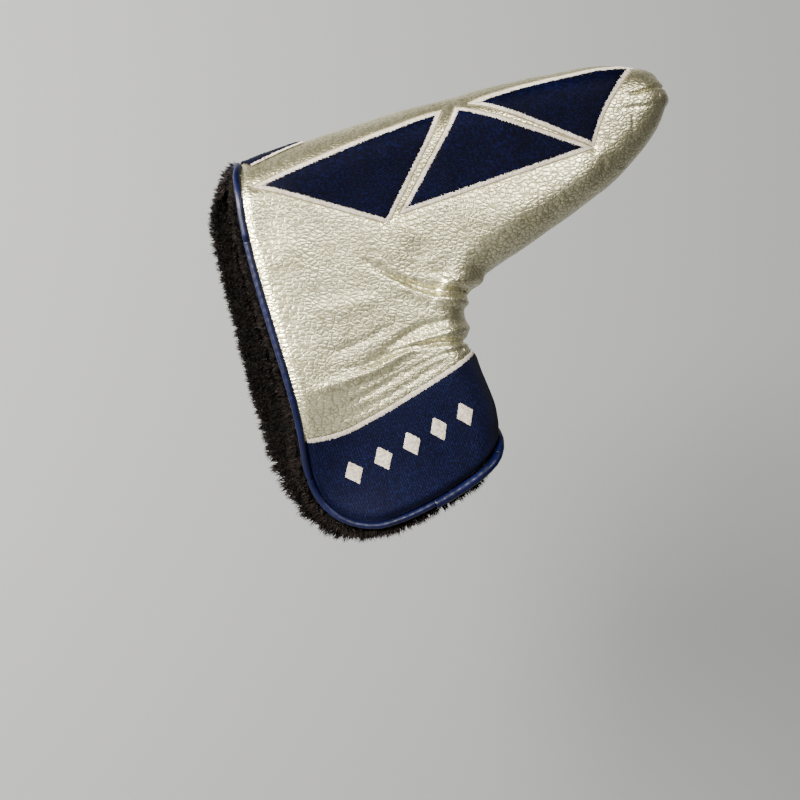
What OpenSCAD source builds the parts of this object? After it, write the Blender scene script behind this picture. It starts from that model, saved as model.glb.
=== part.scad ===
// Boot-shaped soft cover for a blade putter, as it sits on a club held head up.
// X runs from heel to toe, Z up along the shaft, and the front panel faces -Y.
// The origin is on the shaft's axis, at the bottom edge of the neck.
// Every layer follows one rounded skin: a depth of 0 is the leather's outer face, and depth grows inwards.

/* [Body] */
// Half of the thickness across the head
head_half = 22; // [21:0.5:23]
// Half of the thickness close to the toe
toe_half = 19; // [18:0.5:21]
// Half of the thickness at the bottom of the neck
neck_half = 17; // [16.5:0.5:19]
// Radius over which the top fold rounds off
fold_r = 18; // [16:0.5:20]
// Radius over which the sewn side rounds off
seam_r = 16; // [15:0.5:18]

/* [Closure] */
// How far the closure pulls each flap in, at its middle
pinch = 10; // [9:0.5:10]
// Spread of the pinched area
pinch_spread = 18; // [16:1:20]
// Thickness of each closure strip
strip_t = 1.5; // [1:0.1:1.6]
// Length of each closure strip
strip_l = 24; // [18:1:26]
// Width of each closure strip
strip_w = 12; // [8:1:13]

/* [Layers] */
// Thickness of the leather and of the neck band
leather_t = 1.2; // [1:0.1:1.2]
// Thickness of the foam interlining
foam_t = 1.8; // [1.5:0.1:1.8]
// Thickness of the plush lining, backing and pile together
plush_t = 5; // [4:0.5:5]
// Free space between two layers
layer_gap = 0.6; // [0.55:0.05:0.6]
// How far the plush stands out past the rim
plush_over = 3; // [2:0.5:3.5]

/* [Trim] */
// Radius of the piping
piping_r = 1.35; // [1.2:0.05:1.5]
// Radius of the wide piping near the seam
wide_piping_r = 1.9; // [1.7:0.1:2]
// Radius of the cord inside the piping
cord_r = 0.7; // [0.5:0.05:0.8]
// Width of the satin stitch borders
border_w = 1.8; // [1.4:0.1:2.2]
// How far the embroidery stands proud of the leather
thread_t = 0.7; // [0.5:0.1:0.8]
// Number of lozenges embroidered along the neck band
lozenges = 5; // [3:1:6]
// Half height of a lozenge
lozenge_h = 5; // [4:0.5:6]

/* [Hidden] */
front = -1;
rear = 1;
// Outline in the XZ plane, as cubic curves of four points each
fold_curve = [[114.5, 183], [104, 193], [60, 187], [-64, 139]];
toe_curve = [[114.5, 183], [122, 172], [112, 143], [47, 105.5]];
throat_curve = [[47, 105.5], [34, 97.5], [26, 90], [27, 80]];
neck_curve = [[27, 80], [27, 70], [40, 56], [42, 36]];
left_curve = [[-64, 139], [-72, 122], [-50, 70], [-38, 25]];
corner_curve = [[-38, 25], [-34, 10], [-26, 0.5], [-12, 0.5]];
bottom_curve = [[-12, 0.5], [0, 0.5], [42, 24], [42, 36]];
toe_tip = fold_curve[0];
heel_top = fold_curve[3];
neck_end = neck_curve[3];
// Each flap turns about a line from hinge_top, on the left rim, to neck_end
hinge_top_at = 0.27;
// Line where the leather ends and the neck band begins: left end, hinge crossing and seam end
band_rim_at = 0.495;
band_hinge = [12, 57];
band_seam_at = 0.818;
band_sag = 3;
closure_mid = [-26, 16];
closure_turn = -62;
pinch_mid = [-32, 12];
flap_gap = 0.4;
strip_gap = 0.2;
foam_d = leather_t + layer_gap;
plush_d = foam_d + foam_t + layer_gap;
lining_d = plush_d + plush_t;
tube_steps = 8;
flap_first = 0.03;
flap_last = 0.95;
wide_piping_at = 0.81;
// Outer corners of the embroidered triangles, heel to toe
heel_triangle = [[-62, 128.5], [14, 162], [-8, 116.5]];
middle_triangle = [[19, 163.5], [-3.5, 120.5], [74, 149]];
toe_triangle = [[25, 165.5], [78, 149.5], [98, 185]];
// First and last lozenge of the row on the neck band
first_lozenge = [-20, 20];
last_lozenge = [22, 42.5];
gold = [0.8, 0.78, 0.66];
navy = [0.07, 0.09, 0.3];
dark_navy = [0.05, 0.07, 0.22];
cream = [0.88, 0.84, 0.78];
brown = [0.2, 0.15, 0.13];
foam_yellow = [0.9, 0.87, 0.7];
loop_black = [0.1, 0.1, 0.12];
hook_black = [0.15, 0.15, 0.18];

// ---- curves ----
function bez(c, t) =
    pow(1 - t, 3) * c[0] + 3 * pow(1 - t, 2) * t * c[1] + 3 * (1 - t) * t * t * c[2] + pow(t, 3) * c[3];
function sampled(c, n, first = 0) = [for (i = [first:n]) bez(c, i / n)];
function mix(a, b, t) = a + (b - a) * t;
function unit(v) = v / norm(v);
function left_of(v) = [-v[1], v[0]];
function run_lengths(p) =
    [for (i = 0, s = 0; i < len(p); s = s + (i + 1 < len(p) ? norm(p[i + 1] - p[i]) : 0), i = i + 1) s];
// A path is its length and the two tables that give x and z at any run along it
function path(p) = let (s = run_lengths(p))
    [s[len(s) - 1], [for (i = [0:len(p) - 1]) [s[i], p[i][0]]], [for (i = [0:len(p) - 1]) [s[i], p[i][1]]]];
function at(path, f) = [lookup(f * path[0], path[1]), lookup(f * path[0], path[2])];
function heading(path, f) = unit(at(path, min(1, f + 0.01)) - at(path, max(0, f - 0.01)));

function last_of(v, back = 0) = v[len(v) - 1 - back];
fold_points = sampled(fold_curve, 18);
seam_points = concat(sampled(toe_curve, 12), sampled(throat_curve, 6, 1), sampled(neck_curve, 6, 1));
rim_points = concat(sampled(left_curve, 10), sampled(corner_curve, 6, 1), sampled(bottom_curve, 8, 1));
fold_path = path(fold_points);
seam_path = path(seam_points);
rim_path = path(rim_points);
left_path = path(sampled(left_curve, 10));
hinge_top_run = hinge_top_at * left_path[0] / rim_path[0];
hinge_top = at(rim_path, hinge_top_run);
band_seam = at(seam_path, band_seam_at);

// ---- the skin ----
reach = 20;
fold_line = concat(fold_points, [heel_top + reach * unit(heel_top - last_of(fold_points, 1))]);
seam_line = concat(seam_points, [neck_end + reach * unit(neck_end - last_of(seam_points, 1))]);
function to_segment(p, a, b) =
    let (t = max(0, min(1, ((p - a) * (b - a)) / ((b - a) * (b - a))))) norm(p - a - t * (b - a));
function total(v, i = 0) = i < len(v) ? v[i] + total(v, i + 1) : 0;
// Distance from p to a line of points, negative on the outside; hand is 1 if the inside is on the left
function within(p, line, hand) =
    let (gaps = [for (i = [0:len(line) - 2]) to_segment(p, line[i], line[i + 1])], gap = min(gaps),
        turns = [for (i = [0:len(gaps) - 1]) if (gaps[i] < gap + 0.001)
            cross(unit(line[i + 1] - line[i]), p - line[i])])
    hand * total(turns) < 0 ? -gap : gap;
function smooth(t) = let (c = max(0, min(1, t))) c * c * (3 - 2 * c);
function rise(t) = t >= 1 ? 1 : t * (2 - t);
function half_thickness(p) =
    neck_half + (head_half - neck_half) * smooth(p[1] / 50)
    - (head_half - toe_half) * smooth((p[0] - 40) / 70)
    - pinch * exp(-pow(norm(p - pinch_mid), 2) / (2 * pinch_spread * pinch_spread));
function skin_square(p) =
    pow(half_thickness(p), 2)
    * rise(within(p, fold_line, 1) / fold_r) * rise(within(p, seam_line, -1) / seam_r);
probe = 0.05;
// A point at a depth under the skin, above the in-plane point p, on the side given, at least keep from Y = 0
function under(p, depth, side, keep = 0) =
    let (q = skin_square(p), y = sqrt(max(0, q)),
        gx = (skin_square(p + [probe, 0]) - skin_square(p - [probe, 0])) / (2 * probe),
        gz = (skin_square(p + [0, probe]) - skin_square(p - [0, probe])) / (2 * probe),
        k = depth / norm([gx, 2 * y, gz]))
    [p[0] + gx * k, side * max(keep, y - 2 * y * k), p[1] + gz * k];

// ---- shapes over the skin ----
function quad(a, b, c, d) = [[a, b, c], [a, c, d]];
function flat(lists) = [for (l = lists) each l];

// A closed plate between two depths: outer and inner are grids of n + 1 rows and m + 1 columns
module plate(outer, inner, turned) {
    n = len(outer) - 1;
    m = len(outer[0]) - 1;
    half = (n + 1) * (m + 1);
    function id(i, j) = i * (m + 1) + j;
    faces = concat(
        flat([for (i = [0:n - 1], j = [0:m - 1])
            quad(id(i, j), id(i, j + 1), id(i + 1, j + 1), id(i + 1, j))]),
        flat([for (i = [0:n - 1], j = [0:m - 1])
            quad(half + id(i, j), half + id(i + 1, j), half + id(i + 1, j + 1), half + id(i, j + 1))]),
        flat([for (i = [0:n - 1]) quad(id(i, 0), id(i + 1, 0), half + id(i + 1, 0), half + id(i, 0))]),
        flat([for (i = [0:n - 1]) quad(id(i, m), half + id(i, m), half + id(i + 1, m), id(i + 1, m))]),
        flat([for (j = [0:m - 1]) quad(id(0, j), half + id(0, j), half + id(0, j + 1), id(0, j + 1))]),
        flat([for (j = [0:m - 1]) quad(id(n, j), id(n, j + 1), half + id(n, j + 1), half + id(n, j))]));
    polyhedron(concat(flat(outer), flat(inner)), turned ? [for (f = faces) [f[2], f[1], f[0]]] : faces);
}

// In-plane grid between two paths, from run u0 to u1, its ribs bowed sideways by bow towards the last one
function between(a, b, u0, u1, n, m, bow) =
    [for (i = [0:n]) let (u = mix(u0, u1, i / n), p = at(a, u), q = at(b, u))
        [for (j = [0:m]) let (s = (1 - cos(180 * j / m)) / 2)
            mix(p, q, s) + bow * pow(u, 4) * 4 * s * (1 - s) * left_of(unit(q - p))]];
function lifted(grid, depth, side, keep = 0) = [for (row = grid) [for (p = row) under(p, depth, side, keep)]];

module patch(a, b, u0, u1, n, m, top, bottom, side, bow = 0, keep = 0) {
    grid = between(a, b, u0, u1, n, m, bow);
    i = round(n / 2);
    j = round(m / 2);
    left_handed = cross(grid[n][j] - grid[0][j], grid[i][m] - grid[i][0]) < 0;
    plate(lifted(grid, top, side, keep), lifted(grid, bottom, side, keep), left_handed == (side == front));
}

// Closed band between an outer outline and an inner one that has as many points
module loop(outline, inline, top, bottom, side) {
    n = len(outline);
    third = floor(n / 3);
    rings = [for (i = [0:n - 1]) [under(outline[i], bottom, side), under(outline[i], top, side),
        under(inline[i], top, side), under(inline[i], bottom, side)]];
    faces = flat([for (i = [0:n - 1], k = [0:3])
        quad(4 * i + k, 4 * i + (k + 1) % 4, 4 * ((i + 1) % n) + (k + 1) % 4, 4 * ((i + 1) % n) + k)]);
    clockwise = cross(outline[third] - outline[0], outline[2 * third] - outline[0]) < 0;
    polyhedron(flat(rings), clockwise == (side == front) ? [for (f = faces) [f[2], f[1], f[0]]] : faces);
}

// Tube or cord along 3D points, its ring turned in the frame given by each point's side vector
module tube(points, sides, radius, hole = 0, steps = tube_steps) {
    n = len(points) - 1;
    function along(i) = unit(points[min(n, i + 1)] - points[max(0, i - 1)]);
    function ring(i, r) = let (t = along(i), a = unit(cross(t, sides[i])), b = cross(t, a))
        [for (k = [0:steps - 1]) points[i] + r * (cos(360 * k / steps) * a + sin(360 * k / steps) * b)];
    function wall(base, flip) = flat([for (i = [0:n - 1], k = [0:steps - 1])
        let (p = base + i * steps, q = base + (i + 1) * steps, l = (k + 1) % steps)
        flip ? quad(p + k, p + l, q + l, q + k) : quad(p + k, q + k, q + l, p + l)]);
    function lid(first, flip) = [for (k = [1:steps - 2]) flip ? [first, first + k + 1, first + k]
        : [first, first + k, first + k + 1]];
    function washer(base, inner, flip) = flat([for (k = [0:steps - 1]) let (l = (k + 1) % steps)
        flip ? quad(base + k, inner + k, inner + l, base + l)
            : quad(base + k, base + l, inner + l, inner + k)]);
    count = (n + 1) * steps;
    if (hole > 0)
        polyhedron(concat(flat([for (i = [0:n]) ring(i, radius)]), flat([for (i = [0:n]) ring(i, hole)])),
            concat(wall(0, false), wall(count, true), washer(0, count, false),
                washer(n * steps, count + n * steps, true)));
    else
        polyhedron(flat([for (i = [0:n]) ring(i, radius)]),
            concat(wall(0, false), lid(0, false), lid(n * steps, true)));
}

// ---- the fixed sock: toe, head and heel, front and rear in one closed shell ----
fold_ribs = 20;
heel_ribs = 6;
corner_ribs = 5;
sock_cols = 12;
// Ribs over the toe, which are the only ones that differ from layer to layer
tip_ribs = 6;
// Part of the seam that the ribs from the fold reach, and how much closer the ribs stand near the toe
heel_seam_at = 0.73;
tip_crowding = 1.3;
// Part of the heel's rim that is left to the ribs of the neck corner
corner_share = 0.9;
function spread(i) = pow(i / fold_ribs, tip_crowding);
function stop(i, u0, end) = i < tip_ribs ? mix(u0, end * spread(tip_ribs), i / tip_ribs) : end * spread(i);
// How far rib i stands along the heel's rim, for a shell with extra ribs in the neck corner
function heel_share(k, extra) = k <= heel_ribs
    ? (extra > 0 ? corner_share : 1) * pow(k / heel_ribs, 1.5)
    : mix(corner_share, 1, (k - heel_ribs) / extra);
function sock_outer(i, u0, extra) = i <= fold_ribs ? at(fold_path, stop(i, u0, 1))
    : at(rim_path, hinge_top_run * heel_share(i - fold_ribs, extra));
function sock_inner_run(i, u0, extra) = i <= fold_ribs ? stop(i, u0, heel_seam_at)
    : i <= fold_ribs + heel_ribs ? mix(heel_seam_at, band_seam_at, (i - fold_ribs) / heel_ribs)
    : mix(band_seam_at, 1, (i - fold_ribs - heel_ribs) / extra);
// The last ribs bend so that the shell ends on the line from hinge_top by way of via to the seam
function sock_grid(u0, extra, via) = let (n = fold_ribs + heel_ribs + extra)
    [for (i = [0:n]) let (p = sock_outer(i, u0, extra), q = at(seam_path, sock_inner_run(i, u0, extra)),
        k = pow(i / n, 5), end = at(seam_path, sock_inner_run(n, u0, extra)),
        turn_at = norm(via - hinge_top) / (norm(via - hinge_top) + norm(end - via)))
        [for (j = [0:sock_cols]) let (s = (1 - cos(180 * j / sock_cols)) / 2,
            bent = s < turn_at ? mix(hinge_top, via, s / turn_at)
                : mix(via, end, (s - turn_at) / (1 - turn_at)))
            mix(p, q, s) + k * (bent - mix(hinge_top, end, s))]];

module sock(top, bottom, top_u0, bottom_u0, top_tip, bottom_tip, extra = corner_ribs,
    via = mix(hinge_top, neck_end, 0.5)) {
    n = fold_ribs + heel_ribs + extra;
    m = sock_cols;
    side_count = (n + 1) * (m + 1);
    function skin(grid, depth, tip) =
        let (f = lifted(grid, depth, front, 0), r = lifted(grid, depth, rear, 0), mid = f[0][round(m / 2)],
            apex = mix([mid[0], 0, mid[2]], [toe_tip[0], 0, toe_tip[1]], tip))
        concat(flat(f), flat(r), [apex]);
    total = 2 * side_count + 1;
    // Front and rear share their points on the fold and on the seam
    function id(layer, side, i, j) = layer * total + i * (m + 1) + j
        + (side == rear && !(j == m || (j == 0 && i <= fold_ribs)) ? side_count : 0);
    function turn(f, flip) = flip ? [for (t = f) [t[2], t[1], t[0]]] : f;
    function sheet(layer, side) = turn(flat([for (i = [0:n - 1], j = [0:m - 1])
        quad(id(layer, side, i, j), id(layer, side, i, j + 1), id(layer, side, i + 1, j + 1),
            id(layer, side, i + 1, j))]), (side == front) != (layer == 0));
    function cap(layer, side) = turn([for (j = [0:m - 1])
        [id(layer, side, 0, j), layer * total + total - 1, id(layer, side, 0, j + 1)]],
        (side == front) != (layer == 0));
    function end_wall(side) = turn(flat([for (j = [0:m - 1]) quad(id(0, side, n, j), id(0, side, n, j + 1),
        id(1, side, n, j + 1), id(1, side, n, j))]), side == rear);
    function rim_wall(side) = turn(flat([for (i = [fold_ribs:n - 1]) quad(id(0, side, i, 0),
        id(0, side, i + 1, 0), id(1, side, i + 1, 0), id(1, side, i, 0))]), side == rear);
    faces = flat([for (side = [front, rear])
        concat(sheet(0, side), sheet(1, side), cap(0, side), cap(1, side), end_wall(side), rim_wall(side))]);
    polyhedron(concat(skin(sock_grid(top_u0, extra, via), top, top_tip),
        skin(sock_grid(bottom_u0, extra, via), bottom, bottom_tip)), faces);
}

module outer_leather() {
    color(gold) sock(0, leather_t, 0.02, 0.035, 1, 0.4, 0, band_hinge);
}
module foam_interlining() {
    color(foam_yellow) sock(foam_d, foam_d + foam_t, 0.045, 0.065, 0.3, 0.2);
}
module plush_lining() {
    color(brown) sock(plush_d, lining_d, 0.075, 0.13, 0.2, 0.1);
}

// ---- embroidery ----
// Embroidery lies just clear of the leather, and its fill just clear of its border
lift = 0.25;
fill_gap = 0.1;
function inset(c, w) = let (a = norm(c[1] - c[2]), b = norm(c[2] - c[0]), d = norm(c[0] - c[1]),
    mid = (a * c[0] + b * c[1] + d * c[2]) / (a + b + d),
    r = abs(cross(c[1] - c[0], c[2] - c[0])) / (a + b + d))
    [for (p = c) mid + (p - mid) * (1 - w / r)];
function edged(c, n) = [for (k = [0:2], i = [0:n - 1]) mix(c[k], c[(k + 1) % 3], i / n)];
module stitched_fill(corners, side) {
    c = inset(corners, border_w + fill_gap);
    color(navy) patch(path([c[0], c[1]]), path([c[0], c[2]]), 0.04, 1, 10, 7, -thread_t, -lift, side);
}
module stitched_border(corners, side) {
    color(cream) loop(edged(corners, 13), edged(inset(corners, border_w), 13), -thread_t, -lift, side);
}
module front_heel_triangle() { stitched_fill(heel_triangle, front); }
module front_middle_triangle() { stitched_fill(middle_triangle, front); }
module front_toe_triangle() { stitched_fill(toe_triangle, front); }
module rear_heel_triangle() { stitched_fill(heel_triangle, rear); }
module rear_middle_triangle() { stitched_fill(middle_triangle, rear); }
module rear_toe_triangle() { stitched_fill(toe_triangle, rear); }
module front_heel_border() { stitched_border(heel_triangle, front); }
module front_middle_border() { stitched_border(middle_triangle, front); }
module front_toe_border() { stitched_border(toe_triangle, front); }
module rear_heel_border() { stitched_border(heel_triangle, rear); }
module rear_middle_border() { stitched_border(middle_triangle, rear); }
module rear_toe_border() { stitched_border(toe_triangle, rear); }

// Navy patch that wraps over the top fold at the heel, deeper on the rear than on the front
patch_from = 0.985;
patch_to = 0.86;
patch_front = 2.4;
patch_rear = 7;
function over_fold(f, reach_in) = let (w = left_of(heading(fold_path, f)))
    at(fold_path, f) + abs(reach_in) * w;
function patch_row(f, steps, depth) = let (k = (f - patch_to) / (patch_from - patch_to))
    [for (t = steps) let (w = t * (t < 0 ? patch_front : patch_rear) * (0.15 + 0.85 * k))
        under(over_fold(f, w), depth, t < 0 ? front : rear)];
module fold_strip(steps) {
    runs = [for (i = [0:6]) mix(patch_from, patch_to, i / 6)];
    plate([for (f = runs) patch_row(f, steps, -thread_t)],
        [for (f = runs) patch_row(f, steps, -lift)], false);
}
module heel_patch() {
    color(navy) fold_strip([-0.7, -0.35, -0.1, 0, 0.1, 0.35, 0.7, 1]);
}
module heel_patch_border() {
    color(cream) fold_strip([-1.3, -1, -0.73]);
}

// ---- neck band ----
band_left = at(rim_path, band_rim_at);
hinge_way = unit(neck_end - hinge_top);
flap_side = -left_of(hinge_way);
flap_shift = flap_gap * flap_side;
band_gap = 0.15;
band_up = left_of(unit(band_hinge - band_left));
function rim_part(from, to, n, over = 0) = path([for (k = [0:n]) let (f = mix(from, to, k / n))
    at(rim_path, f) - over * left_of(heading(rim_path, f))]);
// Top edge of the band over the flap, lowered by drop
function band_edge(drop) = [for (k = [0:8]) let (s = k / 8) mix(band_left, band_hinge + flap_shift, s)
    - (band_sag * 4 * s * (1 - s) + drop) * band_up];
module flap_band(side) {
    color(navy) patch(path(concat(band_edge(band_gap), [neck_end + flap_shift])),
        rim_part(band_rim_at, 1, 16), 0.025, flap_last, 18, 7, 0, leather_t, side);
}
module corner_band(side) {
    color(navy) patch(path([neck_end, band_hinge - band_gap * band_up]),
        path([for (k = [0:5]) at(seam_path, mix(1, band_seam_at + 0.002, k / 5))]),
        0.06, 1, 8, 8, 0, leather_t, side);
}
module flap_band_border(side) {
    color(cream) patch(path(band_edge(-border_w / 2)), path(band_edge(border_w / 2)), 0.02, 0.985, 10, 1,
        -thread_t, -lift, side);
}
module corner_band_border(side) {
    half_w = border_w / 2 * band_up;
    color(cream) patch(path([band_hinge + half_w, band_seam + half_w]),
        path([band_hinge - half_w, band_seam - half_w]), 0.02, 0.97, 10, 1, -thread_t, -lift, side);
}
module front_band() { flap_band(front); }
module rear_band() { flap_band(rear); }
module front_band_corner() { corner_band(front); }
module rear_band_corner() { corner_band(rear); }
module front_band_border() { flap_band_border(front); }
module rear_band_border() { flap_band_border(rear); }
module front_corner_border() { corner_band_border(front); }
module rear_corner_border() { corner_band_border(rear); }

// Row of plain lozenges
lozenge_slim = 0.7;
module front_lozenges() {
    way = unit(last_lozenge - first_lozenge);
    up = left_of(way);
    for (k = [0:lozenges - 1]) {
        mid = mix(first_lozenge, last_lozenge, k / (lozenges - 1));
        a = lozenge_h * (up - lozenge_slim * way) / 2;
        b = lozenge_h * (up + lozenge_slim * way) / 2;
        grid = [for (i = [-1:1]) [for (j = [-1:1]) mid + i * a + j * b]];
        color(cream) plate(lifted(grid, -thread_t, front), lifted(grid, -lift, front), true);
    }
}

// ---- flaps ----
// The thick plush keeps more room over the fold than the leather and the foam
plush_shift = 1.8 * flap_side;
foam_shift = 0.8 * flap_side;
strip_room = strip_gap + strip_t + 0.2;
module flap_layer(top, bottom, over, side, keep, shift = flap_shift) {
    patch(path([hinge_top + shift, neck_end + shift]), rim_part(hinge_top_run, 1, 24, over),
        flap_first, flap_last, 20, 10, top, bottom, side, 0, keep);
}
module flap_leather(side) {
    color(gold) patch(path([hinge_top + flap_shift, band_hinge + flap_shift]),
        rim_part(hinge_top_run, band_rim_at, 12), flap_first, 1, 12, 10, 0, leather_t, side, band_sag);
}
module front_flap_leather() { flap_leather(front); }
module rear_flap_leather() { flap_leather(rear); }
module front_flap_foam() {
    color(foam_yellow) flap_layer(foam_d, foam_d + foam_t, 0, front, 0.5, foam_shift);
}
module rear_flap_foam() {
    color(foam_yellow) flap_layer(foam_d, foam_d + foam_t, 0, rear, 0.5, foam_shift);
}
module front_flap_plush() {
    color(brown) flap_layer(plush_d, lining_d, plush_over, front, strip_room, plush_shift);
}
module rear_flap_plush() {
    color(brown) flap_layer(plush_d, lining_d, plush_over, rear, strip_room, plush_shift);
}

// ---- piping round the rim ----
piping_depth = 0.6;
piping_clear = 0.3;
function rim_out(f) = let (w = left_of(heading(rim_path, f))) [-w[0], 0, -w[1]];
function piping_point(f, side, r) =
    under(at(rim_path, f), piping_depth, side) + (r + piping_clear) * rim_out(f);
module run_of_piping(stops, r, outer, hole = 0) {
    tube([for (s = stops) piping_point(s[0], s[1], r)], [for (s = stops) rim_out(s[0])], outer, hole);
}
piping_hole = cord_r + 0.1;
// Least distance from the heel's top and from the neck's end, where front and rear meet
close = 0.001;
function heel_side(side) = [for (k = [0:5]) [mix(hinge_top_run, close, k / 5), side]];
function turned_back(v) = [for (k = [len(v) - 1:-1:0]) v[k]];
heel_stops = concat(heel_side(front), [[0, front]], turned_back(heel_side(rear)));
function flap_stops(from, to, n, side) = [for (k = [0:n]) [mix(from, to, k / n), side]];
module heel_piping() {
    color(dark_navy) run_of_piping(heel_stops, piping_r, piping_r, piping_hole);
}
module heel_piping_cord() {
    color(cream) run_of_piping(heel_stops, piping_r, cord_r);
}
flap_start = hinge_top_run + 0.008;
front_stops = flap_stops(flap_start, wide_piping_at, 22, front);
rear_stops = flap_stops(flap_start, flap_last, 24, rear);
wide_stops = flap_stops(wide_piping_at + close, flap_last, 6, front);
module front_piping() {
    color(dark_navy) run_of_piping(front_stops, piping_r, piping_r, piping_hole);
}
module front_piping_cord() {
    color(cream) run_of_piping(front_stops, piping_r, cord_r);
}
module rear_piping() {
    color(dark_navy) run_of_piping(rear_stops, piping_r, piping_r, piping_hole);
}
module rear_piping_cord() {
    color(cream) run_of_piping(rear_stops, piping_r, cord_r);
}
module front_wide_piping() {
    color(dark_navy) run_of_piping(wide_stops, wide_piping_r, wide_piping_r, piping_hole);
}
module front_wide_piping_cord() {
    color(cream) run_of_piping(wide_stops, wide_piping_r, cord_r);
}
corner_start = flap_last + 0.01;
function corner_side(side) = [for (k = [0:4]) [mix(corner_start, 1 - close, k / 4), side]];
corner_stops = concat(corner_side(front), [[1, front]], turned_back(corner_side(rear)));
module corner_piping() {
    color(dark_navy) run_of_piping(corner_stops, wide_piping_r, wide_piping_r, piping_hole);
}
module corner_piping_cord() {
    color(cream) run_of_piping(corner_stops, wide_piping_r, cord_r);
}

// ---- closure ----
module strip(l, w, r) {
    square([l - 2 * r, w], center = true);
    square([l, w - 2 * r], center = true);
    for (x = [-1, 1], y = [-1, 1]) translate([x * (l / 2 - r), y * (w / 2 - r)]) circle(r, $fn = 24);
}
module closure_strip(y) {
    translate([closure_mid[0], y, closure_mid[1]]) rotate([90, 0, 0]) linear_extrude(strip_t)
        rotate(closure_turn) strip(strip_l, strip_w, 2);
}
module loop_strip() { color(loop_black) closure_strip(-strip_gap); }
module hook_strip() { color(hook_black) closure_strip(strip_gap + strip_t); }

outer_leather();
foam_interlining();
plush_lining();
front_heel_triangle();
front_middle_triangle();
front_toe_triangle();
rear_heel_triangle();
rear_middle_triangle();
rear_toe_triangle();
front_heel_border();
front_middle_border();
front_toe_border();
rear_heel_border();
rear_middle_border();
rear_toe_border();
heel_patch();
heel_patch_border();
front_band_corner();
rear_band_corner();
front_corner_border();
rear_corner_border();
heel_piping();
heel_piping_cord();
corner_piping();
corner_piping_cord();
front_flap_leather();
front_flap_foam();
front_flap_plush();
front_band();
front_band_border();
front_lozenges();
front_piping();
front_piping_cord();
front_wide_piping();
front_wide_piping_cord();
loop_strip();
rear_flap_leather();
rear_flap_foam();
rear_flap_plush();
rear_band();
rear_band_border();
rear_piping();
rear_piping_cord();
hook_strip();
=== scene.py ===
"""Looks of the putter head cover: leather, embroidery, piping and plush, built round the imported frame.

Lengths are in millimetres in the XZ plane of the part's frame, and become metres when a mesh is made.
Every piece follows one rounded skin: a height of 0 is the leather's outer face, and height grows outwards.
"""

import math

import bpy
import numpy as np
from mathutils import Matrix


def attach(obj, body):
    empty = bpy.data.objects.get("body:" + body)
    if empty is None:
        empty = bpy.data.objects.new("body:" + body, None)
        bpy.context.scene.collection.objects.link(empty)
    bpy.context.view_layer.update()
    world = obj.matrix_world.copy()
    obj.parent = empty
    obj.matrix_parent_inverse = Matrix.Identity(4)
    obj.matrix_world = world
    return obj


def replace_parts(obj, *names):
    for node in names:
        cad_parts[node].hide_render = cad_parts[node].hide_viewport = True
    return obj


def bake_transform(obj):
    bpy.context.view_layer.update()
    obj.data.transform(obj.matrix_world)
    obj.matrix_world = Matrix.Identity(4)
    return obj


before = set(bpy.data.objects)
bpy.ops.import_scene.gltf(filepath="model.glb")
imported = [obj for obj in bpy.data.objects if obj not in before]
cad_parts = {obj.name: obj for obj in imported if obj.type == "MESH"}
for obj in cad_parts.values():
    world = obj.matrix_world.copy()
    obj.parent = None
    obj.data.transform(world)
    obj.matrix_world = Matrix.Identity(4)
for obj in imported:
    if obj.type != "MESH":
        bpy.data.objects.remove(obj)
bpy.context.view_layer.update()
MM = 0.001
FRONT, REAR = -1.0, 1.0
rng = np.random.default_rng(11)


# ---- curves in the XZ plane ----
def bezier(c, n=40):
    c = np.array(c, float)
    t = np.linspace(0, 1, n + 1)[:, None]
    return (1 - t) ** 3 * c[0] + 3 * (1 - t) ** 2 * t * c[1] + 3 * (1 - t) * t * t * c[2] + t**3 * c[3]


def chained(*parts):
    return np.concatenate([parts[0]] + [p[1:] for p in parts[1:]])


class Run:
    """A line looked up by the share of its length."""

    def __init__(self, points):
        self.points = np.asarray(points, float)
        steps = np.linalg.norm(np.diff(self.points, axis=0), axis=1)
        self.lengths = np.concatenate([[0], np.cumsum(steps)])
        self.length = self.lengths[-1]

    def at(self, f):
        where = np.clip(f, 0, 1) * self.length
        return np.stack([np.interp(where, self.lengths, c) for c in self.points.T], -1)

    def heading(self, f):
        e = 1.0 / self.length
        return unit(self.at(np.minimum(np.asarray(f) + e, 1)) - self.at(np.maximum(np.asarray(f) - e, 0)))

    def left(self, f):
        return left_of(self.heading(f))


def unit(v):
    return v / np.maximum(np.linalg.norm(v, axis=-1, keepdims=True), 1e-9)


def left_of(v):
    return np.stack([-v[..., 1], v[..., 0]], -1)


def mix(a, b, t):
    return a + (b - a) * t


def smooth(t):
    t = np.clip(t, 0, 1)
    return t * t * (3 - 2 * t)


FOLD_CURVE = [(114.5, 183), (104, 193), (60, 187), (-64, 139)]
TOE_CURVE = [(114.5, 183), (122, 172), (112, 143), (47, 105.5)]
THROAT_CURVE = [(47, 105.5), (34, 97.5), (26, 90), (27, 80)]
NECK_CURVE = [(27, 80), (27, 70), (40, 56), (42, 36)]
LEFT_CURVE = [(-64, 139), (-72, 122), (-50, 70), (-38, 25)]
CORNER_CURVE = [(-38, 25), (-34, 10), (-26, 0.5), (-12, 0.5)]
BOTTOM_CURVE = [(-12, 0.5), (0, 0.5), (42, 24), (42, 36)]
fold = Run(bezier(FOLD_CURVE, 60))
seam = Run(chained(bezier(TOE_CURVE, 60), bezier(THROAT_CURVE, 20), bezier(NECK_CURVE, 24)))
rim = Run(chained(bezier(LEFT_CURVE, 40), bezier(CORNER_CURVE, 24), bezier(BOTTOM_CURVE, 36)))
LEFT_SHARE = Run(bezier(LEFT_CURVE)).length / rim.length
HINGE_RUN = 0.27 * LEFT_SHARE
# Shares of the rim and of the seam at which the neck band, the wide piping and the sewn corner start
BAND_RIM = 0.495
BAND_SEAM = 0.818
WIDE_FROM = 0.81
CORNER_FROM = 0.955
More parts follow.
